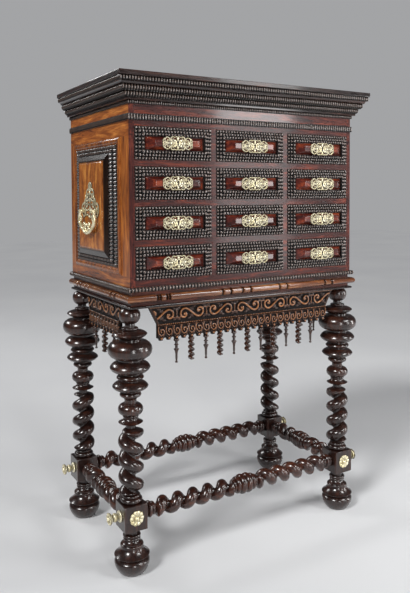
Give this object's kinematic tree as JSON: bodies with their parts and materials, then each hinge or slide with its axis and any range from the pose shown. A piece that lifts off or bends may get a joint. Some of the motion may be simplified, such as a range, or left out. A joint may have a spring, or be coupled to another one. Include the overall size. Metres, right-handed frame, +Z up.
{
  "type": "drawer cabinet on stand",
  "caption": "Wooden table cabinet with rows of sliding drawers, a stepped cornice and bail handles at its sides, on a stand of twist-turned legs and stretchers with carved aprons.",
  "frame": {"origin": "on the floor, under the middle of the whole object's box", "axes": "+Z up, -Y the drawer fronts, +X to the right seen from the front"},
  "size_m": [0.967, 0.5719, 1.4785],
  "materials": {
    "dark_wood": "polished",
    "turned_wood": "polished",
    "carved_wood": "waxed",
    "red_brown_wood": "polished",
    "side_panel_wood": "polished",
    "plain_wood": "bare",
    "gilt_brass": "gilt"
  },
  "bodies": {
    "cabinet": {"leg_front_left": "turned_wood", "leg_front_right": "turned_wood", "leg_back_left": "turned_wood", "leg_back_right": "turned_wood", "stretcher_front": "turned_wood", "stretcher_back": "turned_wood", "stretcher_left": "turned_wood", "stretcher_right": "turned_wood", "stand_frame": "dark_wood", "apron_front": "carved_wood", "apron_left": "carved_wood", "apron_right": "carved_wood", "carcass_side_left": "red_brown_wood", "carcass_side_right": "red_brown_wood", "carcass_top": "plain_wood", "carcass_bottom": "plain_wood", "back_panel": "plain_wood", "drawer_dividers": "red_brown_wood", "cornice": "dark_wood", "base_board": "dark_wood", "side_frames": "side_panel_wood", "brass_mounts": "gilt_brass"},
    "drawer_r1c1": {"drawer_r1c1_box": "plain_wood", "drawer_r1c1_face": "dark_wood", "drawer_r1c1_lock": "gilt_brass"},
    "drawer_r1c2": {"drawer_r1c2_box": "plain_wood", "drawer_r1c2_face": "dark_wood", "drawer_r1c2_lock": "gilt_brass"},
    "drawer_r1c3": {"drawer_r1c3_box": "plain_wood", "drawer_r1c3_face": "dark_wood", "drawer_r1c3_lock": "gilt_brass"},
    "drawer_r2c1": {"drawer_r2c1_box": "plain_wood", "drawer_r2c1_face": "dark_wood", "drawer_r2c1_lock": "gilt_brass"},
    "drawer_r2c2": {"drawer_r2c2_box": "plain_wood", "drawer_r2c2_face": "dark_wood", "drawer_r2c2_lock": "gilt_brass"},
    "drawer_r2c3": {"drawer_r2c3_box": "plain_wood", "drawer_r2c3_face": "dark_wood", "drawer_r2c3_lock": "gilt_brass"},
    "drawer_r3c1": {"drawer_r3c1_box": "plain_wood", "drawer_r3c1_face": "dark_wood", "drawer_r3c1_lock": "gilt_brass"},
    "drawer_r3c2": {"drawer_r3c2_box": "plain_wood", "drawer_r3c2_face": "dark_wood", "drawer_r3c2_lock": "gilt_brass"},
    "drawer_r3c3": {"drawer_r3c3_box": "plain_wood", "drawer_r3c3_face": "dark_wood", "drawer_r3c3_lock": "gilt_brass"},
    "drawer_r4c1": {"drawer_r4c1_box": "plain_wood", "drawer_r4c1_face": "dark_wood", "drawer_r4c1_lock": "gilt_brass"},
    "drawer_r4c2": {"drawer_r4c2_box": "plain_wood", "drawer_r4c2_face": "dark_wood", "drawer_r4c2_lock": "gilt_brass"},
    "drawer_r4c3": {"drawer_r4c3_box": "plain_wood", "drawer_r4c3_face": "dark_wood", "drawer_r4c3_lock": "gilt_brass"},
    "bail_left": {"bail_left": "gilt_brass"},
    "bail_right": {"bail_right": "gilt_brass"}
  },
  "joints": [
    {"name": "drawer_r1c1_slide", "type": "slide", "parent": "cabinet", "child": "drawer_r1c1", "axis": [0, -1, 0], "range_m": [0, 0.38]},
    {"name": "drawer_r1c2_slide", "type": "slide", "parent": "cabinet", "child": "drawer_r1c2", "axis": [0, -1, 0], "range_m": [0, 0.38]},
    {"name": "drawer_r1c3_slide", "type": "slide", "parent": "cabinet", "child": "drawer_r1c3", "axis": [0, -1, 0], "range_m": [0, 0.38]},
    {"name": "drawer_r2c1_slide", "type": "slide", "parent": "cabinet", "child": "drawer_r2c1", "axis": [0, -1, 0], "range_m": [0, 0.38]},
    {"name": "drawer_r2c2_slide", "type": "slide", "parent": "cabinet", "child": "drawer_r2c2", "axis": [0, -1, 0], "range_m": [0, 0.38]},
    {"name": "drawer_r2c3_slide", "type": "slide", "parent": "cabinet", "child": "drawer_r2c3", "axis": [0, -1, 0], "range_m": [0, 0.38]},
    {"name": "drawer_r3c1_slide", "type": "slide", "parent": "cabinet", "child": "drawer_r3c1", "axis": [0, -1, 0], "range_m": [0, 0.38]},
    {"name": "drawer_r3c2_slide", "type": "slide", "parent": "cabinet", "child": "drawer_r3c2", "axis": [0, -1, 0], "range_m": [0, 0.38]},
    {"name": "drawer_r3c3_slide", "type": "slide", "parent": "cabinet", "child": "drawer_r3c3", "axis": [0, -1, 0], "range_m": [0, 0.38]},
    {"name": "drawer_r4c1_slide", "type": "slide", "parent": "cabinet", "child": "drawer_r4c1", "axis": [0, -1, 0], "range_m": [0, 0.38]},
    {"name": "drawer_r4c2_slide", "type": "slide", "parent": "cabinet", "child": "drawer_r4c2", "axis": [0, -1, 0], "range_m": [0, 0.38]},
    {"name": "drawer_r4c3_slide", "type": "slide", "parent": "cabinet", "child": "drawer_r4c3", "axis": [0, -1, 0], "range_m": [0, 0.38]},
    {"name": "bail_left_hinge", "type": "hinge", "parent": "cabinet", "child": "bail_left", "pos_m": [-0.4555, 0.0195, 1.078], "axis": [0, 1, 0], "range_deg": [0, 95]},
    {"name": "bail_right_hinge", "type": "hinge", "parent": "cabinet", "child": "bail_right", "pos_m": [0.4555, 0.0195, 1.078], "axis": [0, -1, 0], "range_deg": [0, 95]}
  ]
}
